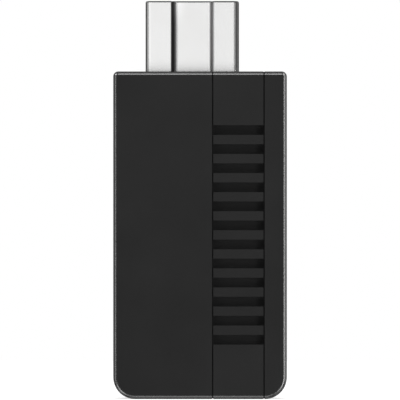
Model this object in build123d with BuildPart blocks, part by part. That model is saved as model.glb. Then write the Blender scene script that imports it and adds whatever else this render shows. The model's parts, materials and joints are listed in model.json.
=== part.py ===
"""Plug-in wireless receiver stick: a slim two-part casing with a vented strip let into its front, a keyed
metal plug at one end, a cable port, a push button and a status light at the other, and the board inside.

Frame: +X to the right of the front face, +Y from the front to the back, +Z up towards the plug.
Origin: centre of the flat end face that the stick stands on. All sizes are in millimetres.
"""

import os

from build123d import *

os.makedirs("parts", exist_ok=True)

# ------------------------------------------------------------------ casing
body_width = 23.2
body_depth = 12.6
body_height = 43.78
bottom_corner_radius = 2.9
top_corner_radius = 0.66
inner_corner_radius = 0.2
edge_radius = 0.52
wall = 1.4
front_y = -body_depth / 2
back_y = body_depth / 2
parting_y = -0.6
reveal_width = 0.2
reveal_depth = 0.12
lip_inset = 0.75
lip_height = 0.8
slip_gap = 0.05

# ------------------------------------------------------------------ vented strip
seam_left_x = 1.69
seam_right_x = 8.55
seam_gap = 0.16
seam_depth = 0.5
end_seam_depth = 0.3
strip_x = (seam_left_x + seam_right_x) / 2
channel_width = seam_right_x - seam_left_x + seam_gap
strip_width = channel_width - 2 * slip_gap
strip_depth = 1.8
flange_thickness = 0.7
channel_wall = 0.75
channel_back_y = front_y + strip_depth + slip_gap + channel_wall
slot_count = 12
slot_pitch = 2.547
slot_height = 1.31
slot_depth = 1.3
first_slot_z = 7.93
stake_radius = 0.5
stake_head_radius = 0.8
stake_head_height = 0.35
stake_heights = (3.8, first_slot_z + 5.5 * slot_pitch, first_slot_z + 10.5 * slot_pitch)

# ------------------------------------------------------------------ plug
plug_x = -1.04
plug_width = 12.5
plug_thickness = 7.0
plug_reach = 9.45
plug_corner_radius = 0.7
key_width = 5.3
key_depth = 1.1
key_outer_bend = 0.22
key_inner_bend = 0.5
sheet = 0.3
tip_radius = 0.22
plug_top_z = body_height + plug_reach
shell_tail_z = 37.6
tab_width = 2.4
tab_length = 4.2
ear_reach = 0.6
lock_width = 0.7
lock_length = 2.0
lock_z = 48.2
fold_gap = 0.06
rib_x = plug_x - 0.8
rib_z = 39.5
rib_width = 15.4
rib_thickness = 1.0
rib_gap_front_y = -1.8
rib_gap_back_y = 0.9
mouth_width = 9.2
mouth_height = 2.0
mouth_floor_z = 45.0
insulator_back_z = 38.2
insulator_setback = 0.4
contact_pitch = 3.2
contact_width = 1.0
contact_thickness = 0.2
contact_bend = 0.25

# ------------------------------------------------------------------ board
board_thickness = 1.0
board_front_y = -board_thickness / 2
board_back_y = board_thickness / 2
board_width = 19.8
board_bottom_z = 2.3
board_top_z = 36.6
board_corner_radius = 1.4

# ------------------------------------------------------------------ places on the board, as (x, z)
can_place = (-2.5, 25.0)
main_chip_place = (-5.1, 25.2)
memory_place = (1.1, 23.4)
crystal_place = (1.3, 28.0)
antenna_place = (8.6, 21.0)
regulator_place = (-2.4, 14.2)
inductor_place = (1.6, 14.2)
protector_place = (-4.2, 8.2)

# ------------------------------------------------------------------ end-face features
end_row_y = 1.8
usb_x = -4.2
usb_width = 7.5
usb_height = 2.4
usb_mouth_z = 0.45
usb_back_z = 5.6
usb_corner_cut = 0.85
usb_sheet = 0.25
usb_flare = 0.35
usb_contact_pitch = 0.65
button_x = 3.6
button_width = 4.0
button_height = 2.0
button_gap = 0.1
button_recess = 0.1
light_x = 7.6
light_radius = 0.75

# ------------------------------------------------------------------ fastening
screw_places = ((8.3, 39.4), (-7.8, 9.4))
screw_head_radius = 1.5
screw_head_height = 1.1
screw_shank_radius = 0.85
screw_length = 7.0
screw_seat_y = 4.4
thread_pitch = 0.5
thread_turns = 12
boss_radius = 2.3
front_boss_radius = 1.85
counterbore_radius = 1.7
clearance_radius = 0.95
pin_posts = ((-8.8, 33.2), (8.8, 9.3))
plain_posts = ((8.8, 33.2),)
post_radius = 0.85
pin_radius = 0.4
pin_socket_depth = 1.1
pin_tip_y = -1.3
label_width = 13.2
label_height = 18.2
label_z = 21.5
label_thickness = 0.12


ON_BASE = (Align.CENTER, Align.CENTER, Align.MIN)


def at_y(y):
    """Upright plane at depth y. A sketch on it reads X and Z, and extrude runs towards the front."""
    return Plane.XZ.offset(-y)


def casing_outline(inset):
    """Front outline of the casing shrunk by inset, drawn with X and Z as its local x and y."""
    with BuildSketch() as outline:
        with Locations((0, body_height / 2)):
            Rectangle(body_width - 2 * inset, body_height - 2 * inset)
        fillet(outline.vertices().group_by(Axis.Y)[0], bottom_corner_radius - inset)
        fillet(outline.vertices().group_by(Axis.Y)[-1], max(top_corner_radius - inset, inner_corner_radius))
    return outline.sketch


def plug_outline(grow=0.0):
    """Cross-section of the plug, centred: a rounded rectangle with a keying channel along its front side."""
    with BuildSketch() as outline:
        Rectangle(plug_width, plug_thickness)
        fillet(outline.vertices(), plug_corner_radius)
        with Locations((0, (key_depth - plug_thickness) / 2)):
            Rectangle(key_width, key_depth, mode=Mode.SUBTRACT)
        key_reach = key_width / 2 + 0.1
        fillet(outline.vertices().filter_by_position(Axis.X, -key_reach, key_reach).group_by(Axis.Y)[-1],
               key_inner_bend)
        fillet(outline.vertices().filter_by_position(Axis.X, -key_reach, key_reach).group_by(Axis.Y)[0],
               key_outer_bend)
        if grow:
            offset(amount=grow)
    return outline.sketch


def usb_outline(grow=0.0):
    """Cross-section of the cable port, centred, with its two corners on the board side cut off."""
    with BuildSketch() as outline:
        Rectangle(usb_width, usb_height)
        chamfer(outline.vertices().group_by(Axis.Y)[0], usb_corner_cut)
        fillet(outline.vertices(), 0.3)
        if grow:
            offset(amount=grow)
    return outline.sketch


def bent_strips(points, bend, thickness, width, places):
    """Metal strips bent along a path of (y, z) points and standing side by side at the given X places."""
    with BuildPart() as strips:
        for x in places:
            with BuildSketch(Plane.YZ.offset(x - width / 2)):
                with BuildLine():
                    FilletPolyline(*points, radius=bend)
                trace(line_width=thickness)
            extrude(amount=width)
    return strips.part


def gull_wing_chip(x, z, width, height, thickness, pins_per_side, pitch, turned=False):
    """Chip package on the front of the board with bent leads along two sides and a dot at its first pin."""
    lead_reach, lead_foot, lead_sheet = 0.75, 0.4, 0.15
    with BuildPart(at_y(board_front_y)) as chip:
        with Locations((x, z, 0.1)):
            Box(width, height, thickness, align=ON_BASE)
        chamfer(chip.faces().sort_by(Axis.Y)[0].edges(), 0.12)
        with Locations((x - width / 2 + 0.55, z + height / 2 - 0.55, 0.1 + thickness)):
            Cylinder(0.2, 0.1, mode=Mode.SUBTRACT)
        for side in (-1, 1):
            for pin in range(pins_per_side):
                along = (pin - (pins_per_side - 1) / 2) * pitch
                edge = (height if turned else width) / 2
                for reach, low, thick, span in (
                    (edge + 0.1, 0.1, thickness / 2, 0.3),
                    (edge + lead_reach - lead_foot / 2, 0, lead_sheet, lead_foot + 0.25),
                ):
                    place = (x + along, z + side * reach) if turned else (x + side * reach, z + along)
                    size = (0.3, span) if turned else (span, 0.3)
                    with Locations((*place, low)):
                        Box(*size, thick, align=ON_BASE)
    return chip.part


def two_terminal_parts(places, length, width, thickness):
    """Small parts on the front of the board, each a body and two end caps. A place is (x, z, turned)."""
    cap = length / 5
    body_inset = 0.04
    with BuildPart(at_y(board_front_y)) as group:
        for x, z, turned in places:
            with Locations(Location((x, z, 0), (0, 0, 90 if turned else 0))):
                Box(length - 2 * cap, width - 2 * body_inset, thickness - body_inset, align=ON_BASE)
                with Locations((-(length - cap) / 2, 0), ((length - cap) / 2, 0)):
                    Box(cap, width, thickness, align=ON_BASE)
    return group.part


# ================================================================== casing
# The closed outer form that the covers and the strip are cut from, with the reveal along the parting line.
with BuildPart() as casing_block:
    with BuildSketch(at_y(back_y)):
        add(casing_outline(0))
    extrude(amount=body_depth)
    fillet(casing_block.faces().filter_by(Axis.Y).edges(), edge_radius)
    with BuildSketch(at_y(parting_y + reveal_width / 2)):
        add(casing_outline(0))
        add(casing_outline(reveal_depth), mode=Mode.SUBTRACT)
    extrude(amount=reveal_width, mode=Mode.SUBTRACT)

with BuildPart() as front_cover:
    add(casing_block.part)
    split(bisect_by=at_y(parting_y))
    with BuildSketch(at_y(parting_y)):
        add(casing_outline(wall))
    extrude(amount=parting_y - front_y - wall, mode=Mode.SUBTRACT)
    # Floor and side walls of the channel that holds the strip
    with BuildSketch(at_y(channel_back_y)):
        with Locations((strip_x, body_height / 2)):
            Rectangle(channel_width + 2 * channel_wall, body_height - 2 * wall)
    extrude(amount=channel_back_y - front_y - wall / 2)
    # Screw bosses, board posts and the rib that steadies the plug
    with BuildSketch(at_y(parting_y - slip_gap)):
        with Locations(*screw_places):
            Circle(front_boss_radius)
    extrude(amount=parting_y - slip_gap - front_y - wall / 2)
    with BuildSketch(at_y(board_front_y - slip_gap)):
        with Locations(*pin_posts, *plain_posts):
            Circle(post_radius)
    extrude(amount=board_front_y - slip_gap - front_y - wall / 2)
    with BuildSketch(at_y(rib_gap_front_y)):
        with Locations((rib_x, rib_z)):
            Rectangle(rib_width, rib_thickness)
    extrude(amount=rib_gap_front_y - front_y - wall / 2)
    # Channel for the strip, over the front and round both ends
    with BuildSketch(at_y(front_y + strip_depth + slip_gap)):
        with Locations((strip_x, body_height / 2)):
            Rectangle(channel_width, body_height)
    extrude(amount=strip_depth + slip_gap, mode=Mode.SUBTRACT)
    with BuildSketch(at_y(parting_y)):
        with Locations((strip_x, 0)):
            Rectangle(channel_width, flange_thickness + slip_gap, align=(Align.CENTER, Align.MIN))
        with Locations((strip_x, body_height)):
            Rectangle(channel_width, flange_thickness + slip_gap, align=(Align.CENTER, Align.MAX))
    extrude(amount=parting_y - front_y, mode=Mode.SUBTRACT)
    # Rebate for the rear cover's lip
    with BuildSketch(at_y(parting_y)):
        add(casing_outline(lip_inset - slip_gap))
        add(casing_outline(wall + slip_gap), mode=Mode.SUBTRACT)
    extrude(amount=lip_height + 2 * slip_gap, mode=Mode.SUBTRACT)
    # Plug opening, thread holes, pin sockets and stake holes
    with BuildSketch(Plane.XY.offset(shell_tail_z)):
        with Locations((plug_x, 0)):
            add(plug_outline(slip_gap * 2))
    extrude(amount=body_height - shell_tail_z, mode=Mode.SUBTRACT)
    with BuildSketch(at_y(parting_y)):
        with Locations(*screw_places):
            Circle(screw_shank_radius + 0.01)
    extrude(amount=screw_length - screw_seat_y + parting_y + 0.5, mode=Mode.SUBTRACT)
    with BuildSketch(at_y(board_front_y)):
        with Locations(*pin_posts):
            Circle(pin_radius + slip_gap)
    extrude(amount=pin_socket_depth, mode=Mode.SUBTRACT)
    with BuildSketch(at_y(channel_back_y)):
        with Locations(*[(strip_x, z) for z in stake_heights]):
            Circle(stake_radius + slip_gap)
    extrude(amount=channel_wall + slip_gap, mode=Mode.SUBTRACT)

with BuildPart() as vent_strip:
    # Everything the casing form offers in the strip's width, in front of the parting line
    add(casing_block.part)
    split(bisect_by=at_y(parting_y - slip_gap / 2))
    with BuildSketch(at_y(back_y)):
        with Locations((strip_x, body_height / 2)):
            Rectangle(strip_width, body_height)
    extrude(amount=body_depth, mode=Mode.INTERSECT)
    # Hollow out behind the face, which leaves a flange round each end
    with BuildSketch(at_y(back_y)):
        with Locations((strip_x, body_height / 2)):
            Rectangle(strip_width, body_height - 2 * flange_thickness)
    extrude(amount=body_depth - strip_depth, mode=Mode.SUBTRACT)
    # The top flange clears the plug opening
    with BuildSketch(Plane.XY.offset(body_height - wall)):
        with Locations((plug_x, 0)):
            add(plug_outline(slip_gap * 2))
    extrude(amount=wall, mode=Mode.SUBTRACT)
    # Vent slots
    with BuildSketch(at_y(front_y + slot_depth)):
        with Locations(*[(strip_x, first_slot_z + row * slot_pitch) for row in range(slot_count)]):
            Rectangle(strip_width, slot_height)
    extrude(amount=slot_depth, mode=Mode.SUBTRACT)
    # Long edges set back from the face and from both ends, which opens the seams to a small depth
    seam_places = [strip_x + side * (channel_width - seam_gap) / 2 for side in (-1, 1)]
    with BuildSketch(at_y(front_y + seam_depth)):
        with Locations(*[(x, body_height / 2) for x in seam_places]):
            Rectangle(seam_gap, body_height)
    extrude(amount=seam_depth, mode=Mode.SUBTRACT)
    for z in (end_seam_depth, body_height):
        with BuildSketch(Plane.XY.offset(z)):
            with Locations(*[(x, 0) for x in seam_places]):
                Rectangle(seam_gap, body_depth)
        extrude(amount=-end_seam_depth, mode=Mode.SUBTRACT)
    # Heat stakes through the channel floor, with their formed heads
    with BuildSketch(at_y(channel_back_y)):
        with Locations(*[(strip_x, z) for z in stake_heights]):
            Circle(stake_radius)
    extrude(amount=channel_wall + 2 * slip_gap)
    with BuildSketch(at_y(channel_back_y + stake_head_height)):
        with Locations(*[(strip_x, z) for z in stake_heights]):
            Circle(stake_head_radius)
    extrude(amount=stake_head_height)
    stake_ends = vent_strip.edges().filter_by(GeomType.CIRCLE).group_by(Axis.Y)[-1]
    fillet(stake_ends, 0.2)

with BuildPart() as rear_cover:
    add(casing_block.part)
    split(bisect_by=at_y(parting_y), keep=Keep.BOTTOM)
    with BuildSketch(at_y(back_y - wall)):
        add(casing_outline(wall))
    extrude(amount=back_y - wall - parting_y, mode=Mode.SUBTRACT)
    # Lip that enters the front cover
    with BuildSketch(at_y(parting_y + wall)):
        add(casing_outline(lip_inset))
        add(casing_outline(wall), mode=Mode.SUBTRACT)
    extrude(amount=lip_height + wall)
    # Screw bosses, board posts with their pins, and the rib behind the plug
    with BuildSketch(at_y(back_y - wall / 2)):
        with Locations(*screw_places):
            Circle(boss_radius)
    extrude(amount=back_y - wall / 2 - parting_y)
    with BuildSketch(at_y(back_y - wall / 2)):
        with Locations(*pin_posts, *plain_posts):
            Circle(post_radius)
    extrude(amount=back_y - wall / 2 - board_back_y - slip_gap)
    with BuildSketch(at_y(back_y - wall / 2)):
        with Locations(*pin_posts):
            Circle(pin_radius)
    extrude(amount=back_y - wall / 2 - pin_tip_y)
    with BuildSketch(at_y(back_y - wall / 2)):
        with Locations((rib_x, rib_z)):
            Rectangle(rib_width, rib_thickness)
    extrude(amount=back_y - wall / 2 - rib_gap_back_y)
    # Plug opening and the deep screw holes
    with BuildSketch(Plane.XY.offset(shell_tail_z)):
        with Locations((plug_x, 0)):
            add(plug_outline(slip_gap * 2))
    extrude(amount=body_height - shell_tail_z, mode=Mode.SUBTRACT)
    with Locations(*[Location((x, back_y, z), (-90, 0, 0)) for x, z in screw_places]):
        CounterBoreHole(clearance_radius, counterbore_radius, back_y - screw_seat_y, back_y - parting_y + 0.1)
    # Openings of the end face: cable port, button and light
    with BuildSketch(Plane.XY):
        with Locations((usb_x, end_row_y)):
            RectangleRounded(usb_width + 2 * usb_flare + 0.2, usb_height + 2 * usb_flare + 0.1, 0.9)
        with Locations((button_x, end_row_y)):
            SlotOverall(button_width + 2 * button_gap, button_height + 2 * button_gap)
        with Locations((light_x, end_row_y)):
            Circle(light_radius + slip_gap)
    extrude(amount=wall, mode=Mode.SUBTRACT)
    openings = rear_cover.faces().sort_by(Axis.Z)[0].inner_wires()
    chamfer(openings.edges(), 0.15)
    # Shallow recess for the label
    with BuildSketch(at_y(back_y)):
        with Locations((0, label_z)):
            RectangleRounded(label_width + 0.2, label_height + 0.2, 1.0)
    extrude(amount=0.15, mode=Mode.SUBTRACT)

with BuildPart() as rear_label:
    with BuildSketch(at_y(back_y - 0.02)):
        with Locations((0, label_z)):
            RectangleRounded(label_width, label_height, 0.9)
    extrude(amount=label_thickness)

with BuildPart() as casing_screws:
    for x, z in screw_places:
        with BuildSketch(Plane(origin=(x, screw_seat_y, z), x_dir=(1, 0, 0), z_dir=(0, 0, 1))) as profile:
            with BuildLine():
                crest, root = screw_shank_radius, screw_shank_radius - 0.15
                points = [(0, screw_head_height), (screw_head_radius - 0.35, screw_head_height),
                          (screw_head_radius, screw_head_height - 0.35), (screw_head_radius, 0),
                          (root, 0), (root, -0.3)]
                for turn in range(thread_turns):
                    y = -0.3 - turn * thread_pitch
                    points += [(crest, y - thread_pitch / 2), (root, y - thread_pitch)]
                points += [(root, -screw_length + 0.6), (0.12, -screw_length), (0, -screw_length)]
                Polyline(*points, close=True)
            make_face()
        revolve(axis=Axis((x, 0, z), (0, 1, 0)))
        with BuildSketch(at_y(screw_seat_y + screw_head_height)):
            with Locations((x, z)):
                Rectangle(1.7, 0.42)
                Rectangle(0.42, 1.7)
        extrude(amount=0.65, taper=12, mode=Mode.SUBTRACT)

# ================================================================== plug
with BuildPart() as plug_shell:
    with BuildSketch(Plane.XY.offset(shell_tail_z)):
        with Locations((plug_x, 0)):
            add(plug_outline())
    extrude(amount=plug_top_z - shell_tail_z)
    fillet(plug_shell.faces().sort_by(Axis.Z)[-1].edges(), tip_radius)
    with BuildSketch(Plane.XY.offset(shell_tail_z)):
        with Locations((plug_x, 0)):
            add(plug_outline(-sheet))
    extrude(amount=plug_top_z - shell_tail_z, mode=Mode.SUBTRACT)
    # Butt seam of the folded sheet, with a dovetail lock, down the back
    with BuildSketch(at_y(plug_thickness / 2)):
        with BuildLine():
            Polyline(
                (plug_x, shell_tail_z),
                (plug_x, lock_z - 0.3 * lock_length),
                (plug_x - lock_width, lock_z - 0.5 * lock_length),
                (plug_x - lock_width, lock_z + 0.5 * lock_length),
                (plug_x, lock_z + 0.3 * lock_length),
                (plug_x, plug_top_z),
            )
        trace(line_width=fold_gap)
    extrude(amount=2 * sheet, mode=Mode.SUBTRACT)
    # Ears that the ribs stop, and tabs that are soldered through the board
    for side in (-1, 1):
        with Locations((plug_x + side * (plug_width - sheet) / 2, 0, shell_tail_z + sheet)):
            Box(sheet, tab_width, tab_length + sheet, align=(Align.CENTER, Align.CENTER, Align.MAX))
        with Locations((plug_x + side * (plug_width + ear_reach) / 2, 0, shell_tail_z + 0.4)):
            Box(ear_reach + sheet, 2.0, sheet, align=ON_BASE)

contact_places = [plug_x + step * contact_pitch for step in (-1, 0, 1)]
contact_path = ((0.61, 34.3), (0.61, 36.9), (1.5, 37.6), (1.5, 46.0), (0.85, 50.3), (1.2, 51.7))


def mirrored(points):
    """The same path on the other side of the board."""
    return [(-y, z) for y, z in points]


with BuildPart() as plug_contacts:
    for path in (contact_path, mirrored(contact_path)):
        add(bent_strips(path, contact_bend, contact_thickness, contact_width, contact_places))

with BuildPart() as plug_insulator:
    with BuildSketch(Plane.XY.offset(insulator_back_z)):
        with Locations((plug_x, 0)):
            add(plug_outline(-sheet - slip_gap))
    extrude(amount=plug_top_z - insulator_setback - insulator_back_z)
    # Mouth for the tongue of the port, and the open groove each contact bends into
    with BuildSketch(Plane.XY.offset(mouth_floor_z)):
        with Locations((plug_x, 0)):
            RectangleRounded(mouth_width, mouth_height, 0.25)
        for side in (-1, 1):
            with Locations(*[(x, side * 1.2) for x in contact_places]):
                Rectangle(contact_width + 0.2, 1.1)
    extrude(amount=plug_top_z - mouth_floor_z, mode=Mode.SUBTRACT)
    chamfer(plug_insulator.faces().sort_by(Axis.Z)[-1].inner_wires().edges(), 0.15)
    # Snug slots that grip the contacts
    for side in (-1, 1):
        with Locations(*[(x, side * 1.5, insulator_back_z) for x in contact_places]):
            Box(contact_width + 0.04, contact_thickness + 0.04, mouth_floor_z - insulator_back_z,
                align=ON_BASE, mode=Mode.SUBTRACT)

# ================================================================== board
usb_leg_places = [(usb_x + side * (usb_width - usb_sheet) / 2, z) for side in (-1, 1) for z in (3.4, 5.0)]
tab_places = [(plug_x + side * (plug_width - sheet) / 2, board_top_z) for side in (-1, 1)]

with BuildPart() as circuit_board:
    with BuildSketch(at_y(board_back_y)) as board_face:
        with Locations((0, (board_bottom_z + board_top_z) / 2)):
            RectangleRounded(board_width, board_top_z - board_bottom_z, board_corner_radius)
        with Locations(screw_places[1]):
            Circle(boss_radius + 0.2, mode=Mode.SUBTRACT)
        with Locations((-board_width / 2, screw_places[1][1])):
            Rectangle(2 * (board_width / 2 + screw_places[1][0]), 2 * (boss_radius + 0.2), mode=Mode.SUBTRACT)
        with Locations(*pin_posts):
            Circle(pin_radius + slip_gap, mode=Mode.SUBTRACT)
        with Locations(*usb_leg_places):
            Rectangle(usb_sheet + 0.2, 1.2, mode=Mode.SUBTRACT)
        with Locations(*tab_places):
            Rectangle(sheet + 0.2, 2 * (board_top_z - shell_tail_z + tab_length + 0.2), mode=Mode.SUBTRACT)
    extrude(amount=board_thickness)

# ------------------------------------------------------------------ radio section under the can
can_width, can_height, can_rise, can_sheet = 12.6, 10.6, 1.7, 0.2
chip_side, chip_rise, chip_pad_pitch = 6.0, 0.85, 0.5
crystal_width, crystal_height, crystal_layer = 3.2, 2.5, 0.35
antenna_width, antenna_length, antenna_rise = 2.0, 6.0, 1.1

with BuildPart(at_y(board_front_y)) as shield_can:
    with Locations((*can_place, 0)):
        Box(can_width, can_height, can_rise, align=ON_BASE)
    fillet(shield_can.edges().filter_by(Axis.Y), 0.5)
    fillet(shield_can.faces().sort_by(Axis.Y)[0].edges(), 0.25)
    with Locations((*can_place, 0)):
        Box(can_width - 2 * can_sheet, can_height - 2 * can_sheet, can_rise - can_sheet, align=ON_BASE,
            mode=Mode.SUBTRACT)
    # Holes that let the radio section cool
    with Locations((*can_place, can_rise)):
        with GridLocations(2.0, 2.0, 5, 4):
            Cylinder(0.35, 2 * can_sheet + 0.1, mode=Mode.SUBTRACT)

with BuildPart(at_y(board_front_y)) as main_chip:
    with Locations((*main_chip_place, 0)):
        Box(chip_side, chip_side, chip_rise, align=ON_BASE)
        with PolarLocations(0, 4):
            with Locations((chip_side / 2, 0, 0)):
                with GridLocations(1, chip_pad_pitch, 1, 10):
                    Box(0.12, chip_pad_pitch / 2, 0.2, align=ON_BASE)
        # Dot that marks the first pad
        with Locations((-0.4 * chip_side, 0.4 * chip_side, chip_rise)):
            Cylinder(0.22, 0.1, mode=Mode.SUBTRACT)

with BuildPart(at_y(board_front_y)) as crystal:
    with Locations((*crystal_place, 0)):
        Box(crystal_width, crystal_height, crystal_layer, align=ON_BASE)
        with Locations((0, 0, crystal_layer)):
            Box(crystal_width - 0.3, crystal_height - 0.3, crystal_layer, align=ON_BASE)
    fillet(crystal.edges().filter_by(Axis.Y), 0.2)

with BuildPart(at_y(board_front_y)) as antenna:
    with Locations((*antenna_place, 0)):
        Box(antenna_width, antenna_length, antenna_rise, align=ON_BASE)
        with Locations((0, 0.45 * antenna_length), (0, -0.45 * antenna_length)):
            Box(antenna_width + 0.04, 0.1 * antenna_length + 0.02, antenna_rise + 0.02, align=ON_BASE)

memory_chip = gull_wing_chip(*memory_place, 2.6, 3.6, 0.9, 4, 0.8)
voltage_regulator = gull_wing_chip(*regulator_place, 1.6, 2.9, 0.95, 3, 0.95)
surge_protector = gull_wing_chip(*protector_place, 2.9, 1.6, 0.95, 3, 0.95, turned=True)

with BuildPart(at_y(board_front_y)) as power_inductor:
    with Locations((*inductor_place, 0)):
        Box(3.0, 3.0, 1.5, align=ON_BASE)
    fillet(power_inductor.edges().filter_by(Axis.Y), 0.5)
    chamfer(power_inductor.faces().sort_by(Axis.Y)[0].edges(), 0.15)

capacitors = two_terminal_parts(
    [(-2.4, 16.9, False), (5.2, 14.2, True), (-0.4, 10.4, True), (1.0, 10.4, True), (-7.6, 17.2, False),
     (5.8, 26.0, True), (5.8, 29.0, True), (-5.6, 33.0, False), (2.6, 32.6, False)],
    1.6, 0.8, 0.8)
resistors = two_terminal_parts(
    [(3.0, 7.6, False), (3.0, 6.4, False), (5.8, 23.0, True), (6.9, 23.0, True), (-1.2, 32.6, False),
     (6.4, 7.4, True), (-9.3, 28.4, True)],
    1.0, 0.5, 0.35)

# ================================================================== cable port
with BuildPart() as usb_shell:
    with BuildSketch(Plane.XY.offset(usb_mouth_z)):
        with Locations((usb_x, end_row_y)):
            add(usb_outline())
            add(usb_outline(-usb_sheet), mode=Mode.SUBTRACT)
    extrude(amount=usb_back_z - usb_mouth_z)
    # Flared lip at the mouth
    with BuildSketch(Plane.XY.offset(usb_mouth_z)):
        with Locations((usb_x, end_row_y)):
            add(usb_outline(usb_flare))
            add(usb_outline(-usb_sheet), mode=Mode.SUBTRACT)
    extrude(amount=usb_sheet)
    fillet(usb_shell.faces().sort_by(Axis.Z)[0].inner_wires().edges(), 0.18)
    # Legs through the board
    for x, z in usb_leg_places:
        with Locations((x, end_row_y, z)):
            Box(usb_sheet, end_row_y + 0.3, 1.0, align=(Align.CENTER, Align.MAX, Align.CENTER))

tongue_y = end_row_y + 0.25
usb_contact_places = [usb_x + step * usb_contact_pitch for step in (-2, -1, 0, 1, 2)]
usb_contact_path = ((tongue_y - 0.38, 1.35), (tongue_y - 0.38, 5.9), (0.57, 5.9), (0.57, 6.5))

with BuildPart() as usb_contacts:
    add(bent_strips(usb_contact_path, 0.1, 0.12, 0.3, usb_contact_places))

with BuildPart() as usb_insulator:
    block_depth = 1.2
    with BuildSketch(Plane.XY.offset(usb_back_z - block_depth)):
        with Locations((usb_x, end_row_y)):
            add(usb_outline(-usb_sheet - 0.03))
    extrude(amount=block_depth)
    with Locations((usb_x, tongue_y, 1.15)):
        Box(3.9, 0.62, usb_back_z - 1.15, align=ON_BASE)
    chamfer(usb_insulator.faces().sort_by(Axis.Z)[0].edges(), 0.15)
    with Locations(*[(x, usb_contact_path[0][0], 0) for x in usb_contact_places]):
        Box(0.34, 0.16, usb_back_z, align=ON_BASE, mode=Mode.SUBTRACT)

# ================================================================== button, switch and light
flange_low_z = wall + slip_gap
flange_high_z = flange_low_z + 0.5
plunger_tip_z = 2.62
plunger_width, plunger_depth = 1.4, 1.0
shoulder_z, shoulder_height = 4.25, 0.5
shoulder_width, shoulder_depth = 1.9, 1.5
stem_radius = 0.4
stem_length = 0.78
switch_front_z = 3.6
switch_back_z = 6.6
switch_width = 4.2
switch_height = 2.6
cavity_back_z = 6.0
dome_rise = 0.35
dome_radius = 0.9

with BuildPart() as pair_button:
    with BuildSketch(Plane.XY.offset(button_recess)):
        with Locations((button_x, end_row_y)):
            SlotOverall(button_width, button_height)
    extrude(amount=flange_low_z - button_recess)
    fillet(pair_button.faces().sort_by(Axis.Z)[0].edges(), 0.2)
    with BuildSketch(Plane.XY.offset(flange_low_z)):
        with Locations((button_x, end_row_y)):
            RectangleRounded(button_width + 1.1, button_height + 0.9, 0.9)
    extrude(amount=flange_high_z - flange_low_z)
    with Locations((button_x, end_row_y, flange_high_z)):
        Cylinder(0.6, plunger_tip_z - 0.02 - flange_high_z, align=ON_BASE)

with BuildPart() as switch_base:
    with Locations((button_x, board_back_y, switch_front_z)):
        Box(switch_width, switch_height, switch_back_z - switch_front_z,
            align=(Align.CENTER, Align.MIN, Align.MIN))
    # Cavity and stem notch, open to the back where the cover closes them
    with Locations((button_x, board_back_y + 0.5, switch_front_z + 0.6)):
        Box(2.1, switch_height, cavity_back_z - switch_front_z - 0.6,
            align=(Align.CENTER, Align.MIN, Align.MIN), mode=Mode.SUBTRACT)
    with Locations((button_x, end_row_y - 0.55, switch_front_z)):
        Box(1.5, switch_height, 0.6, align=(Align.CENTER, Align.MIN, Align.MIN), mode=Mode.SUBTRACT)

with BuildPart() as switch_plunger:
    with Locations((button_x, end_row_y, plunger_tip_z)):
        Box(plunger_width, plunger_depth, shoulder_z - plunger_tip_z, align=ON_BASE)
    fillet(switch_plunger.faces().sort_by(Axis.Z)[0].edges(), 0.2)
    with Locations((button_x, end_row_y + 0.1, shoulder_z)):
        Box(shoulder_width, shoulder_depth, shoulder_height, align=ON_BASE)
    with Locations((button_x, end_row_y, shoulder_z + shoulder_height)):
        Cylinder(stem_radius, stem_length, align=ON_BASE)

with BuildPart() as switch_dome:
    dome_plane = Plane(origin=(button_x, end_row_y, cavity_back_z), x_dir=(1, 0, 0), z_dir=(0, -1, 0))
    with BuildSketch(dome_plane):
        with BuildLine():
            SagittaArc((-dome_radius, -0.05), (dome_radius, -0.05), -dome_rise)
        trace(line_width=0.08)
        with Locations((-dome_radius, 0)):
            Rectangle(2 * dome_radius, 4 * dome_rise, mode=Mode.SUBTRACT)
    revolve(axis=Axis((button_x, end_row_y, 0), (0, 0, 1)))

with BuildPart() as switch_cover:
    cover_y = board_back_y + switch_height
    with Locations((button_x, cover_y, switch_front_z)):
        Box(switch_width + 0.3, 0.15, switch_back_z - switch_front_z,
            align=(Align.CENTER, Align.MIN, Align.MIN))
    for side in (-1, 1):
        with Locations((button_x + side * (switch_width / 2 + 0.085), cover_y + 0.15, 5.1)):
            Box(0.13, switch_height, 1.6, align=(Align.CENTER, Align.MAX, Align.CENTER))

with BuildPart() as status_led:
    with Locations((light_x, board_back_y, 3.5)):
        Box(2.6, 1.5, 1.0, align=(Align.CENTER, Align.MIN, Align.MIN))
    with BuildSketch(Plane.XY.offset(3.5)):
        with Locations((light_x, board_back_y + 0.8)):
            RectangleRounded(1.9, 1.0, 0.3)
    extrude(amount=0.25, mode=Mode.SUBTRACT)

with BuildPart() as light_pipe:
    with Locations((light_x, end_row_y, 0.06)):
        Cylinder(light_radius, 3.3, align=ON_BASE)
    fillet(light_pipe.faces().sort_by(Axis.Z)[0].edges(), 0.12)
    with Locations((light_x, end_row_y, flange_low_z)):
        Cylinder(light_radius + 0.3, 0.4, align=ON_BASE)

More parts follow.
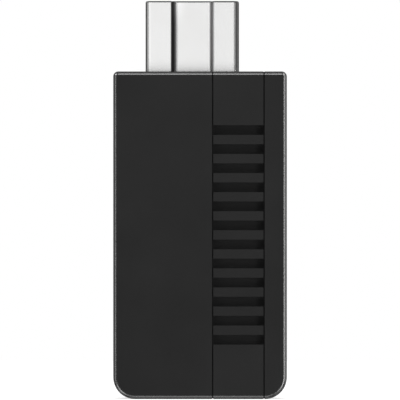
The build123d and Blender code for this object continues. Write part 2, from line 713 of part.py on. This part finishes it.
# ================================================================== write one STEP per piece
pieces = {
    "front_cover": front_cover.part,
    "rear_cover": rear_cover.part,
    "vent_strip": vent_strip.part,
    "rear_label": rear_label.part,
    "casing_screws": casing_screws.part,
    "plug_shell": plug_shell.part,
    "plug_insulator": plug_insulator.part,
    "plug_contacts": plug_contacts.part,
    "circuit_board": circuit_board.part,
    "shield_can": shield_can.part,
    "main_chip": main_chip.part,
    "memory_chip": memory_chip,
    "crystal": crystal.part,
    "antenna": antenna.part,
    "voltage_regulator": voltage_regulator,
    "surge_protector": surge_protector,
    "power_inductor": power_inductor.part,
    "capacitors": capacitors,
    "resistors": resistors,
    "usb_shell": usb_shell.part,
    "usb_insulator": usb_insulator.part,
    "usb_contacts": usb_contacts.part,
    "pair_button": pair_button.part,
    "switch_base": switch_base.part,
    "switch_plunger": switch_plunger.part,
    "switch_dome": switch_dome.part,
    "switch_cover": switch_cover.part,
    "status_led": status_led.part,
    "light_pipe": light_pipe.part,
}
for name, piece in pieces.items():
    piece.label = name
    export_step(piece, f"parts/{name}.step")
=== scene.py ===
"""Studio scene of the plug-in wireless receiver stick.

The CAD nodes keep their shapes. This script gives each one a procedural material, puts a sprung shell in the
place of the switch's dome, and lights the stick in a bright tent: a square-on view with a long lens.
"""

import json
import math

import bpy
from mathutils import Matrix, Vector


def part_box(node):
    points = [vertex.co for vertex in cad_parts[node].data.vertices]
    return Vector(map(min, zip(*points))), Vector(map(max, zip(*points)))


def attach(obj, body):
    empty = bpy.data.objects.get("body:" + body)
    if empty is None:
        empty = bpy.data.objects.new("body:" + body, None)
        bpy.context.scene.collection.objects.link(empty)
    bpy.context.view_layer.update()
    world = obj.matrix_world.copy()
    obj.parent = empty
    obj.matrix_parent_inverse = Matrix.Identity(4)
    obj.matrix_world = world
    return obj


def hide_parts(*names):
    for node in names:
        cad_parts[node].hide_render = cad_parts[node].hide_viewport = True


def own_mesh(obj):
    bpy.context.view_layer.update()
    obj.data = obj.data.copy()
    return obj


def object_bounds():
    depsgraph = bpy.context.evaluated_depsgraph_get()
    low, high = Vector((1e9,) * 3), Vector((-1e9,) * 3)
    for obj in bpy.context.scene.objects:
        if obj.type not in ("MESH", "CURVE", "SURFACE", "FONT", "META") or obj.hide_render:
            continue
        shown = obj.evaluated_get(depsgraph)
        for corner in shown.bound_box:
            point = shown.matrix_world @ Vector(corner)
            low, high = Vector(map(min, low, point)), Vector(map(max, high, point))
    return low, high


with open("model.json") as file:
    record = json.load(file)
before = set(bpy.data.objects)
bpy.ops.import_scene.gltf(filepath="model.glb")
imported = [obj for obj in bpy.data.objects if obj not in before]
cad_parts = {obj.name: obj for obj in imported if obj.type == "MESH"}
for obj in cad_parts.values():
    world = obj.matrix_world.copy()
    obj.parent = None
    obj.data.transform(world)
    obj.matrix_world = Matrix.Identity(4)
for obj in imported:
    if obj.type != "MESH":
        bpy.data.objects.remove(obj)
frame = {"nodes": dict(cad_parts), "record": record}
cad_low, cad_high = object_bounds()
MM = 0.001


# ------------------------------------------------------------------ node helpers
class Graph:
    """A material's node tree, with short calls for the nodes that the finishes below are made of."""

    def __init__(self, name):
        self.material = bpy.data.materials.new(name)
        self.material.use_nodes = True
        self.nodes = self.material.node_tree.nodes
        self.links = self.material.node_tree.links
        self.nodes.clear()
        self.output = self.nodes.new("ShaderNodeOutputMaterial")
        self.surface = self.nodes.new("ShaderNodeBsdfPrincipled")
        self.links.new(self.surface.outputs[0], self.output.inputs[0])
        self.place = self.nodes.new("ShaderNodeTexCoord").outputs["Object"]

    def feed(self, socket, value):
        """Sets an input to a number or a colour, or links it to another node's output."""
        if isinstance(value, bpy.types.NodeSocket):
            self.links.new(value, socket)
        else:
            socket.default_value = value

    def set(self, **inputs):
        for name, value in inputs.items():
            self.feed(self.surface.inputs[name.replace("_", " ")], value)

    def math(self, operation, a, b=0.0, clamp=False):
        node = self.nodes.new("ShaderNodeMath")
        node.operation = operation
        node.use_clamp = clamp
        self.feed(node.inputs[0], a)
        self.feed(node.inputs[1], b)
        return node.outputs[0]

    def stretch(self, scale):
        """The object's coordinates, scaled separately along each axis."""
        node = self.nodes.new("ShaderNodeMapping")
        self.feed(node.inputs["Vector"], self.place)
        node.inputs["Scale"].default_value = scale
        return node.outputs[0]

    def noise(self, size, detail=3.0, roughness=0.55, along=None):
        """Noise whose features are about size millimetres across."""
        node = self.nodes.new("ShaderNodeTexNoise")
        self.feed(node.inputs["Vector"], self.place if along is None else self.stretch(along))
        node.inputs["Scale"].default_value = 1 / (size * MM)
        node.inputs["Detail"].default_value = detail
        node.inputs["Roughness"].default_value = roughness
        return node.outputs[0]

    def cells(self, size):
        """Voronoi distance whose cells are about size millimetres across."""
        node = self.nodes.new("ShaderNodeTexVoronoi")
        self.feed(node.inputs["Vector"], self.place)
        node.inputs["Scale"].default_value = 1 / (size * MM)
        return node.outputs["Distance"]

    def span(self, value, low, high, to_low=0.0, to_high=1.0):
        """Maps low..high to to_low..to_high, clamped."""
        node = self.nodes.new("ShaderNodeMapRange")
        self.feed(node.inputs["Value"], value)
        node.inputs["From Min"].default_value = low
        node.inputs["From Max"].default_value = high
        node.inputs["To Min"].default_value = to_low
        node.inputs["To Max"].default_value = to_high
        return node.outputs[0]

    def mix(self, share, a, b):
        """Colour a where share is 0 and b where it is 1."""
        node = self.nodes.new("ShaderNodeMix")
        node.data_type = "RGBA"
        self.feed(node.inputs[0], share)
        self.feed(node.inputs[6], a)
        self.feed(node.inputs[7], b)
        return node.outputs[2]

    def bump(self, height, depth, strength=1.0, after=None):
        """Bump of the given depth in millimetres, on top of another normal if one is given."""
        node = self.nodes.new("ShaderNodeBump")
        self.feed(node.inputs["Strength"], strength)
        node.inputs["Distance"].default_value = depth * MM
        self.feed(node.inputs["Height"], height)
        if after is not None:
            self.feed(node.inputs["Normal"], after)
        return node.outputs[0]

    def corners(self, reach):
        """1 in the open and towards 0 deep in inside corners narrower than reach millimetres."""
        node = self.nodes.new("ShaderNodeAmbientOcclusion")
        node.samples = 6
        node.only_local = True
        node.inputs["Distance"].default_value = reach * MM
        return node.outputs["AO"]

    def axes(self, vector=None):
        """The three parts of a vector, or of the place on the object in millimetres."""
        split = self.nodes.new("ShaderNodeSeparateXYZ")
        if vector is None:
            vector = self.stretch((1 / MM, 1 / MM, 1 / MM))
        self.feed(split.inputs[0], vector)
        return split.outputs

    def product(self, *factors):
        """The factors multiplied together."""
        result = factors[0]
        for factor in factors[1:]:
            result = self.math("MULTIPLY", result, factor)
        return result

    def along_wall(self, wall, inwards, reach):
        """1 next to a wall at x = wall in the front half, 0 by reach millimetres inwards or 0.28 outwards."""
        x, y, _ = self.axes()
        away = self.math("MULTIPLY", self.math("SUBTRACT", x, wall), inwards)
        in_front = self.math("LESS_THAN", y, 0.0)
        return self.product(self.span(away, -0.28, -0.1), self.span(away, reach, 0.15), in_front)

    def near_corner(self, corner_x, corner_z):
        """1 at the corner of the front half and 0 by 1.9 mm to its right, or 3 mm below it."""
        x, y, z = self.axes()
        fading = self.span(x, corner_x + 1.9, corner_x + 0.5)
        to_right = self.product(fading, self.math("GREATER_THAN", x, corner_x))
        return self.product(to_right, self.span(z, corner_z - 3, corner_z), self.math("LESS_THAN", y, 0.0))

    def edges(self, radius):
        """About 1 on edges, within radius millimetres of them, and 0 on flat faces."""
        bevel = self.nodes.new("ShaderNodeBevel")
        bevel.samples = 4
        bevel.inputs["Radius"].default_value = radius * MM
        true_normal = self.nodes.new("ShaderNodeNewGeometry").outputs["True Normal"]
        dot = self.nodes.new("ShaderNodeVectorMath")
        dot.operation = "DOT_PRODUCT"
        self.feed(dot.inputs[0], bevel.outputs[0])
        self.feed(dot.inputs[1], true_normal)
        return self.span(dot.outputs["Value"], 0.99, 0.8)

    def beyond(self, middles):
        """0 inside any of the (low x, high x, low z, high z) rectangles in millimetres, and 1 elsewhere."""
        x, _, z = self.axes()
        inside = 0.0
        for low_x, high_x, low_z, high_z in middles:
            off_x = self.math("ABSOLUTE", self.math("SUBTRACT", x, (low_x + high_x) / 2))
            off_z = self.math("ABSOLUTE", self.math("SUBTRACT", z, (low_z + high_z) / 2))
            within_x = self.math("LESS_THAN", off_x, (high_x - low_x) / 2)
            within_z = self.math("LESS_THAN", off_z, (high_z - low_z) / 2)
            inside = self.math("MAXIMUM", inside, self.product(within_x, within_z))
        return self.math("SUBTRACT", 1.0, inside)

    def tin(self, ends, colour, roughness):
        """Bright tin where ends is 1, and the given colour and roughness where it is 0."""
        dull = self.span(self.noise(0.4), 0.4, 0.7, 0.0, 0.4)
        tin = self.mix(dull, (0.72, 0.71, 0.69, 1), (0.66, 0.64, 0.61, 1))
        rest = self.product(roughness, self.math("SUBTRACT", 1.0, ends))
        self.set(Base_Color=self.mix(ends, colour, tin), Metallic=ends)
        self.set(Roughness=self.math("ADD", rest, self.product(ends, 0.34)))

    def rims(self):
        """1 on the rounded edges between the sides and the front or back, and 0 on flat faces."""
        normal = self.nodes.new("ShaderNodeTexCoord").outputs["Normal"]
        facing = self.math("ABSOLUTE", self.axes(normal)[1])
        return self.math("MULTIPLY", self.span(facing, 0.998, 0.985), self.span(facing, 0.35, 0.55))


def grey(value, warm=0.0):
    """A linear grey, a little warmer or cooler than neutral."""
    return (value * (1 + warm), value, value * (1 - warm), 1)


# ------------------------------------------------------------------ materials
def moulded_plastic(name, shade, roughness, grain=0.07, grain_depth=0.0012, specular=0.45, wear=0.3,
                    polish=0.0):
    """Moulded plastic: spark-eroded grain, slow colour and gloss drift, faint handling marks, worn edges.

    Polish is the share of extra gloss that handling has given the rounded rims.
    """
    g = Graph(name)
    drift = g.noise(9.0, detail=2.0)
    speck = g.noise(0.12, detail=2.0)
    edge = g.math("MULTIPLY", g.edges(0.1), g.span(g.noise(1.1), 0.45, 0.65))
    colour = g.mix(g.span(drift, 0.3, 0.7), grey(shade * 0.94), grey(shade * 1.06))
    colour = g.mix(g.span(speck, 0.55, 0.8, 0.0, 0.2), colour, grey(shade * 1.5))
    colour = g.mix(g.math("MULTIPLY", edge, wear), colour, grey(shade * 2.2))
    gloss = g.math("ADD", g.span(drift, 0.3, 0.7, -0.012, 0.012), g.span(speck, 0.3, 0.7, -0.01, 0.01))
    gloss = g.math("ADD", gloss, roughness)
    rubbing_and_glint = g.math("MULTIPLY", edge, -0.1 * wear)
    g.set(Base_Color=colour, Roughness=g.math("ADD", gloss, rubbing_and_glint), Specular_IOR_Level=specular)
    rim = g.math("MULTIPLY", g.rims(), polish)
    sharp = g.span(rim, 0, 1, 0.5, 0.04)
    pits = g.bump(g.cells(grain), grain_depth, sharp)
    waves = g.bump(g.noise(grain * 0.8, detail=4.0), grain_depth, sharp, after=pits)
    g.set(Normal=g.bump(g.noise(7.0, detail=1.0), 0.008, 0.2, after=waves))
    g.set(Coat_Weight=g.math("MULTIPLY", rim, g.span(g.noise(2.5), 0.3, 0.6, 0.92, 1.0)))
    g.set(Coat_IOR=2.0, Coat_Roughness=0.22)
    return g.material


def plated_metal(name, colour, roughness, rolled=(1, 1, 14), shaded_walls=(), shade_foot=None, rubbing_and_glint=None):
    """Plated sheet metal: rolling lines, faint smudges, painted shade in inside corners, edges polished by
    the port.

    The walls given are (x, inwards, reach, strength) of upright walls along which shade is painted, and the
    foot given is the height above which a band of painted shade thins out. The corner given last is the (x,
    z) near which a highlight is painted.
    """
    g = Graph(name)
    r, gr, b = colour
    lines = g.noise(0.7, detail=5.0, along=tuple(1 / s for s in rolled))
    smudge = g.noise(3.2, detail=2.0)
    fine = g.noise(0.4, detail=2.0)
    edge = g.math("MULTIPLY", g.edges(0.08), g.span(g.noise(0.6), 0.4, 0.6))
    base = g.mix(g.span(smudge, 0.45, 0.75, 0.0, 0.15), (r, gr, b, 1), (r * 0.93, gr * 0.92, b * 0.9, 1))
    base = g.mix(g.math("MULTIPLY", edge, 0.4), base, (*(min(c * 1.06, 1) for c in colour), 1))
    # Painted shade: dark, non-metal colour in inside corners (from ambient occlusion), along the given walls
    # and just above the foot.
    painted_shade = g.span(g.corners(0.8), 0.7, 0.5)
    for wall, inwards, reach, strength in shaded_walls:
        painted_shade = g.math("MAXIMUM", painted_shade, g.math("MULTIPLY", g.along_wall(wall, inwards, reach), strength))
    if shade_foot is not None:
        painted_shade = g.math("MAXIMUM", painted_shade, g.span(g.axes()[2], shade_foot, shade_foot + 1.4, 0.12, 0.0))
    base = g.mix(painted_shade, base, (0.02, 0.02, 0.019, 1))
    rough = g.math("ADD", g.span(lines, 0.3, 0.7, -0.005, 0.005), g.span(smudge, 0.35, 0.7, -0.004, 0.01))
    rough = g.math("ADD", rough, roughness)
    rough = g.math("SUBTRACT", rough, g.math("MULTIPLY", edge, 0.06))
    # Metal only where no shade is painted.
    unshaded = g.math("SUBTRACT", 1.0, painted_shade)
    # Painted highlight: the base turns white and less rough near the given corner, outside the painted shade.
    if rubbing_and_glint is not None:
        painted_glint = g.product(g.near_corner(*rubbing_and_glint), unshaded)
        base = g.mix(painted_glint, base, (1, 1, 1, 1))
        rough = g.math("SUBTRACT", rough, g.math("MULTIPLY", painted_glint, 0.06))
    g.set(Base_Color=base, Metallic=unshaded, Roughness=rough, Specular_IOR_Level=0.1, Specular_Tint=grey(0.3))
    scratch = g.bump(lines, 0.0005, 0.15)
    g.set(Normal=g.bump(fine, 0.0005, 0.15, after=scratch))
    return g.material


def solder_mask(name):
    """Green board: straight copper tracks, running one way or the other by patches, raised under the mask."""
    g = Graph(name)
    patch = g.nodes.new("ShaderNodeTexVoronoi")
    patch.distance = "CHEBYCHEV"
    patch.inputs["Scale"].default_value = 1 / (3.2 * MM)
    g.feed(patch.inputs["Vector"], g.place)
    upright = g.math("GREATER_THAN", g.axes(patch.outputs["Color"])[0], 0.5)
    x, _, z = g.axes()
    across_upright = g.math("MULTIPLY", x, upright)
    across_level = g.math("MULTIPLY", z, g.math("SUBTRACT", 1.0, upright))
    across = g.math("ADD", across_upright, across_level)
    track = g.math("LESS_THAN", g.math("FRACT", g.math("DIVIDE", across, 0.55)), 0.4)
    poured = g.math("GREATER_THAN", g.axes(patch.outputs["Color"])[1], 0.6)
    copper = g.math("MAXIMUM", track, poured)
    colour = g.mix(copper, (0.006, 0.05, 0.022, 1), (0.012, 0.1, 0.04, 1))
    g.set(Base_Color=colour, Roughness=g.span(g.noise(1.0), 0.3, 0.7, 0.28, 0.42))
    g.set(Normal=g.bump(copper, 0.03, 0.6))
    return g.material


def chip_package(name, shade, middles):
    """Dark mould compound with a coarse, matt grain, and tinned leads beyond the middles."""
    g = Graph(name)
    grain = g.noise(0.08, detail=3.0)
    colour = g.mix(g.span(grain, 0.3, 0.7), grey(shade * 0.8), grey(shade * 1.3))
    g.tin(g.beyond(middles), colour, g.span(grain, 0.3, 0.7, 0.45, 0.65))
    g.set(Normal=g.bump(grain, 0.006, 0.5), Specular_IOR_Level=0.35)
    return g.material


def clear_window(name):
    """Frosted clear plastic that lets the light through, with a milky core."""
    g = Graph(name)
    cloud = g.noise(0.5, detail=3.0)
    g.set(Base_Color=g.mix(g.span(cloud, 0.3, 0.7), (0.72, 0.76, 0.78, 1), (0.86, 0.89, 0.9, 1)))
    g.set(Roughness=g.span(cloud, 0.3, 0.7, 0.12, 0.24), Transmission_Weight=0.55, IOR=1.49)
    g.set(Normal=g.bump(cloud, 0.004, 0.4))
    return g.material


def label_film(name):
    """Blank printed film: satin laminate over a dark print with a fine dot screen."""
    g = Graph(name)
    dots = g.cells(0.22)
    drift = g.noise(5.0, detail=3.0)
    colour = g.mix(g.span(dots, 0.1, 0.5), grey(0.085), grey(0.07))
    colour = g.mix(g.span(drift, 0.35, 0.7, 0.0, 0.3), colour, grey(0.095))
    g.set(Base_Color=colour, Roughness=g.span(drift, 0.3, 0.7, 0.3, 0.44), Specular_IOR_Level=0.5)
    g.set(Normal=g.bump(g.noise(1.6, detail=3.0), 0.004, 0.5, after=g.bump(dots, 0.001, 0.4)))
    return g.material


def fired_ceramic(name, colour, middles=None):
    """Matt ceramic with a fine grain, slightly paler edges and, beyond any middles given, tinned ends."""
    g = Graph(name)
    r, gr, b = colour
    grain = g.noise(0.06, detail=3.0)
    base = g.mix(g.span(grain, 0.3, 0.7), (r * 0.85, gr * 0.85, b * 0.85, 1), (r * 1.1, gr * 1.1, b * 1.1, 1))
    base = g.mix(g.math("MULTIPLY", g.edges(0.06), 0.3), base, (r * 1.4, gr * 1.4, b * 1.4, 1))
    rough = g.span(grain, 0.3, 0.7, 0.45, 0.6)
    if middles:
        g.tin(g.beyond(middles), base, rough)
    else:
        g.set(Base_Color=base, Roughness=rough)
    g.set(Normal=g.bump(grain, 0.004, 0.4))
    return g.material


plug_low, plug_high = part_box("plug_shell")
plug_middle = (plug_low.x + plug_high.x) / 2 / MM
# The plug's keying channel, in millimetres, whose walls get painted shade; its right wall is taken a little
# further out than its left one.
KEY_HALF_WIDTH = 2.65
key_left = plug_middle - KEY_HALF_WIDTH
key_right = plug_middle + KEY_HALF_WIDTH + 0.07

FINISHES = {
    "casing": moulded_plastic("casing_plastic", 0.0193, 0.25, wear=0.15, polish=1.0),
    "strip": moulded_plastic("strip_plastic", 0.0197, 0.25, wear=0.15, polish=1.0),
    "button": moulded_plastic("button_plastic", 0.012, 0.3, grain=0.05, grain_depth=0.002),
    "label": label_film("label_film"),
    "screw_steel": plated_metal("black_zinc", (0.11, 0.11, 0.115), 0.35, rolled=(6, 1, 6)),
    # The plug's plate gets painted shade along the keying channel's walls, just above the casing and in
    # inside corners, and a painted highlight at the channel's upper left corner.
    "plug_metal": plated_metal(
        "plug_nickel", (0.9, 0.9, 0.895), 0.26, shade_foot=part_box("front_cover")[1].z / MM,
        shaded_walls=((key_left, 1, 0.8, 0.93), (key_right, -1, 0.5, 0.5)), rubbing_and_glint=(key_left, plug_high.z / MM)),
    "port_metal": plated_metal("tin_plate", (0.62, 0.61, 0.59), 0.38),
    "contact_gold": plated_metal("contact_gold", (0.86, 0.62, 0.27), 0.28),
    "moulding_black": moulded_plastic("insulator_black", 0.012, 0.45, grain=0.05),
    "moulding_grey": moulded_plastic("switch_grey", 0.12, 0.5, grain=0.05),
    "laminate": solder_mask("board_mask"),
    "ferrite": fired_ceramic("ferrite", (0.07, 0.07, 0.075)),
    "clear_plastic": clear_window("clear_window"),
    "led_white": moulded_plastic("led_case", 0.7, 0.4, grain=0.04, wear=0.0),
}

# Slots of parts with tinned ends. Every such node gets a material of its own, since its ends lie elsewhere.
PACKAGES = {
    "chip_resin": (chip_package, 0.02),
    "ceramic_light": (fired_ceramic, (0.42, 0.33, 0.22)),
    "ceramic_dark": (fired_ceramic, (0.04, 0.04, 0.045)),
}
# How far the tin reaches in from both ends of each solid: as a share of its length, or in millimetres.
TINNED = {
    "capacitors": {"share": 0.21},
    "resistors": {"share": 0.21},
    "antenna": {"share": 0.11},
    "memory_chip": {"reach": 0.74},
    "voltage_regulator": {"reach": 0.74},
    "surge_protector": {"reach": 0.74},
    "main_chip": {"reach": 0.055, "axes": (0, 2)},
}
# How far a middle rectangle reaches past the untinned sides of its solid, in millimetres.
OVERHANG = 0.05

SLOT_OF = {part["node"]: part["material_slot"] for part in frame["record"]["subparts"]}


def finish_nodes():
    """Gives each CAD node the finish of its material slot in the record."""
    for name, slot in SLOT_OF.items():
        if name in TINNED:
            make, look = PACKAGES[slot]
            finish = make(f"{name}_{slot}", look, middles(name, **TINNED[name]))
        else:
            finish = FINISHES[slot]
        for material_slot in frame["nodes"][name].material_slots:
            material_slot.material = finish


def solids(mesh):
    """The mesh's faces in one list per separate solid; vertices at the same place count as joined."""
    places = [tuple(round(c / MM, 4) for c in v.co) for v in mesh.vertices]
    above = {place: place for place in places}

    def top(place):
        while above[place] != place:
            above[place] = above[above[place]]
            place = above[place]
        return place

    for face in mesh.polygons:
        for corner in face.vertices[1:]:
            above[top(places[corner])] = top(places[face.vertices[0]])
    found = {}
    for face in mesh.polygons:
        found.setdefault(top(places[face.vertices[0]]), []).append(face)
    return found.values()


def middles(name, share=0.0, reach=0.0, axes=None):
    """The rectangle between the tinned ends of each solid in a node, in millimetres.

    The tinned ends are those of the solid's longer side on the board, or of every axis that is given. On the
    other sides the rectangle reaches past the solid.
    """
    mesh = frame["nodes"][name].data
    found = []
    for faces in solids(mesh):
        points = [mesh.vertices[corner].co / MM for face in faces for corner in face.vertices]
        sides = {axis: (min(p[axis] for p in points), max(p[axis] for p in points)) for axis in (0, 2)}
        length = {axis: high - low for axis, (low, high) in sides.items()}
        rectangle = []
        for axis, (low, high) in sides.items():
            tinned = axis in axes if axes else length[axis] == max(length.values())
            end = (reach or share * length[axis]) if tinned else -OVERHANG
            rectangle += [low + end, high - end]
        found.append(rectangle)
    return found


# ------------------------------------------------------------------ piece
def revolve(name, profile, centre, sides):
    """A closed surface swept round the Z axis through centre from (radius, z) points that end on the axis."""
    rings, points, faces = [], [], []
    for radius, z in profile:
        count = sides if radius > 0 else 1
        rings.append([len(points) + i for i in range(count)])
        for i in range(count):
            turn = 2 * math.pi * i / sides
            points.append((centre[0] + radius * math.cos(turn), centre[1] + radius * math.sin(turn), z))
    for near, far in zip(rings, rings[1:]):
        for i in range(sides):
            corners = [near[i % len(near)], near[(i + 1) % len(near)],
                       far[(i + 1) % len(far)], far[i % len(far)]]
            faces.append(list(dict.fromkeys(corners)))
    mesh = bpy.data.meshes.new(name)
    mesh.from_pydata(points, [], faces)
    mesh.validate()
    mesh.polygons.foreach_set("use_smooth", [True] * len(mesh.polygons))
    made = bpy.data.objects.new(name, mesh)
    bpy.context.scene.collection.objects.link(made)
    return made


def snap_dome():
    """The switch's sprung steel dome: a thin shell on its rim, dimpled at the crown."""
    low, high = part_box("switch_dome")
    centre = ((low.x + high.x) / 2, (low.y + high.y) / 2)
    radius, sheet, steps = (high.x - low.x) / 2, 0.06 * MM, 12
    rise = high.z - low.z
    dimple, dimple_depth = 0.3, 0.12

    def crown(share):
        """Height of the outer face above the rim, where share runs from 0 on the axis to 1 at the rim."""
        dip = dimple_depth * max(1 - (share / dimple) ** 2, 0) ** 2
        return (1 - share * share) - dip

    outer = [(radius * i / steps, high.z - rise * crown(i / steps)) for i in range(steps + 1)]
    inner_radius, inner_rise = radius - sheet, rise - sheet
    inner = [(inner_radius * i / steps, high.z - inner_rise * crown(i / steps)) for i in range(steps + 1)]
    dome = revolve("snap_dome", outer + inner[::-1], centre, 48)
    dome.data.materials.append(FINISHES[SLOT_OF["switch_dome"]])
    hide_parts("switch_dome")
    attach(dome, "root")
    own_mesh(dome)


# ------------------------------------------------------------------ studio
CASING = (
    "front_cover", "vent_strip", "rear_cover", "rear_label", "casing_screws", "pair_button", "light_pipe",
)
PLUG = ("plug_shell", "plug_insulator", "plug_contacts", "usb_shell", "usb_contacts", "usb_insulator")


def group(name, nodes):
    """A collection of CAD nodes that a light is kept to."""
    made = bpy.data.collections.new(name)
    for node in nodes:
        made.objects.link(frame["nodes"][node])
    return made


def direction(around, tilt):
    """Unit vector tilt degrees off the line to the camera, around degrees anticlockwise from the right."""
    a, t = math.radians(around), math.radians(tilt)
    return Vector((math.sin(t) * math.cos(a), -math.cos(t), math.sin(t) * math.sin(a)))


def softbox(name, towards, width, height, radiance, only, distance=0.6):
    """A rectangular panel that shines on a group of nodes from the given side; the camera can't see it."""
    data = bpy.data.lights.new(name, "AREA")
    data.shape = "RECTANGLE"
    data.size = width
    data.size_y = height
    data.energy = radiance * width * height * math.pi
    lamp = bpy.data.objects.new(name, data)
    bpy.context.scene.collection.objects.link(lamp)
    lamp.location = (cad_low + cad_high) / 2 + towards * distance
    lamp.rotation_mode = "QUATERNION"
    lamp.rotation_quaternion = towards.to_track_quat("Z", "Y")
    lamp.visible_camera = False
    lamp.light_linking.receiver_collection = only
    lamp.light_linking.blocker_collection = stick
    return lamp


def floor_material():
    """Pale matt sweep with the faintest mottling, clear to a camera that looks up from underneath."""
    g = Graph("studio_floor")
    mottle = g.noise(40.0)
    colour = g.mix(g.span(mottle, 0.3, 0.7), grey(0.9), grey(0.93))
    g.set(Base_Color=colour, Roughness=0.9, Specular_IOR_Level=0.0)
    seen = g.nodes.new("ShaderNodeLightPath").outputs["Is Camera Ray"]
    g.set(Emission_Color=(1, 1, 1, 1), Emission_Strength=g.span(seen, 0, 1, 0.1, 0.72))
    under = g.nodes.new("ShaderNodeMixShader")
    g.feed(under.inputs[0], g.nodes.new("ShaderNodeNewGeometry").outputs["Backfacing"])
    g.feed(under.inputs[1], g.surface.outputs[0])
    g.feed(under.inputs[2], g.nodes.new("ShaderNodeBsdfTransparent").outputs[0])
    g.feed(g.output.inputs[0], under.outputs[0])
    return g.material


def make_floor():
    half, low = 0.35, cad_low.z - 0.01 * MM
    corners = [(-half, -half, low), (half, -half, low), (half, half, low), (-half, half, low)]
    mesh = bpy.data.meshes.new("floor")
    mesh.from_pydata(corners, [], [(0, 1, 2, 3)])
    mesh.materials.append(floor_material())
    made = bpy.data.objects.new("floor", mesh)
    bpy.context.scene.collection.objects.link(made)
    made.visible_glossy = False
    made.visible_diffuse = False
    return made


def make_world(ambient):
    """A white room: full white to the camera, and a soft ambient light to everything else."""
    world = bpy.data.worlds.new("tent")
    world.use_nodes = True
    nodes, links = world.node_tree.nodes, world.node_tree.links
    back = nodes["Background"]
    back.inputs[0].default_value = (1, 1, 1, 1)
    seen = nodes.new("ShaderNodeLightPath").outputs["Is Camera Ray"]
    level = nodes.new("ShaderNodeMapRange")
    level.inputs["To Min"].default_value = ambient
    level.inputs["To Max"].default_value = 1.0
    links.new(seen, level.inputs["Value"])
    links.new(level.outputs[0], back.inputs[1])
    bpy.context.scene.world = world


def make_camera():
    """Square-on to the front with a long lens, framed from just under the stick to just above the plug."""
    frame_width = (cad_high.z - cad_low.z) * 1.0039
    distance, sensor = 1.5, 36.0
    data = bpy.data.cameras.new("camera")
    data.sensor_width = sensor
    data.lens = sensor * distance / frame_width
    data.clip_start, data.clip_end = 0.05, 20
    camera = bpy.data.objects.new("camera", data)
    camera.location = (-0.005 * MM, cad_low.y - distance, cad_low.z + frame_width * 0.4978)
    camera.rotation_euler = (math.pi / 2, 0, 0)
    bpy.context.scene.collection.objects.link(camera)
    bpy.context.scene.camera = camera


# Eight steps round the stick from its right: radiance, tilt, width and closeness of the front panel, and the
# radiance of the side panel.
RING = (
    (5.2, 40, 0.14, 1.0, 1.0),
    (5.0, 62, 0.34, 0.45, 0.55),
    (3.6, 38, 0.12, 1.0, 0.3),
    (5.0, 62, 0.34, 0.45, 0.25),
    (2.1, 46, 0.14, 1.0, 0.3),
    (2.5, 46, 0.3, 1.0, 0.35),
    (1.2, 40, 0.2, 1.0, 0.5),
    (0.7, 41, 0.3, 1.0, 0.5),
)
# Name, angle around, tilt, width, height and radiance of each panel that lights the plug alone.
PLUG_PANELS = (
    ("plug_front", 180, 19, 0.62, 0.62, 1.0),
    ("plug_left", 180, 64, 0.3, 0.5, 0.42),
    ("plug_side_left", 180, 86, 0.14, 0.5, 0.24),
    ("plug_side_right", 0, 88, 0.18, 0.5, 0.16),
    ("plug_right", 0, 26, 0.28, 0.5, 0.3),
    ("plug_low", 255, 54, 0.6, 0.4, 0.7),
    ("plug_back", 180, 175, 0.5, 0.5, 0.6),
)


def light_studio():
    """Rings of panels draw the casing's edges, others are mirrored in the plug, and one lights the floor."""
    for step, (near, tilt, width, close, side) in enumerate(RING):
        around = step * 360 / len(RING)
        towards = direction(around, tilt)
        softbox(f"front_near_{step}", towards, width * close, 0.3 * close, near, casing, 0.6 * close)
        softbox(f"side_{step}", direction(around, 88), 0.4, 0.4, side, casing)
        rear_around = 90 * (step // 2) + (28, 62)[step % 2]
        softbox(f"rear_near_{step}", direction(rear_around, 138), 0.22, 0.22, 1.1, tent)
    softbox("front_low", direction(-30, 32), 0.2, 0.2, 2.6, casing)
    softbox("rear_wide", direction(0, 180), 0.3, 0.3, 0.6, casing)
    for name, around, tilt, width, height, radiance in PLUG_PANELS:
        softbox(name, direction(around, tilt), width, height, radiance, plug)
    softbox("floor_top", direction(90, 80), 0.8, 0.8, 1.6, ground)
    make_world(0.06)


casing = group("casing_group", CASING)
tent = group("tent_group", CASING + PLUG)
plug = group("plug_group", PLUG)
stick = group("stick_group", frame["nodes"])
floor = make_floor()
ground = bpy.data.collections.new("ground_group")
ground.objects.link(floor)
finish_nodes()
snap_dome()
light_studio()
make_camera()
scene = bpy.context.scene
scene.view_settings.view_transform = "Standard"
scene.view_settings.look = "None"
scene.view_settings.exposure = 0.0
scene.view_settings.gamma = 1.0
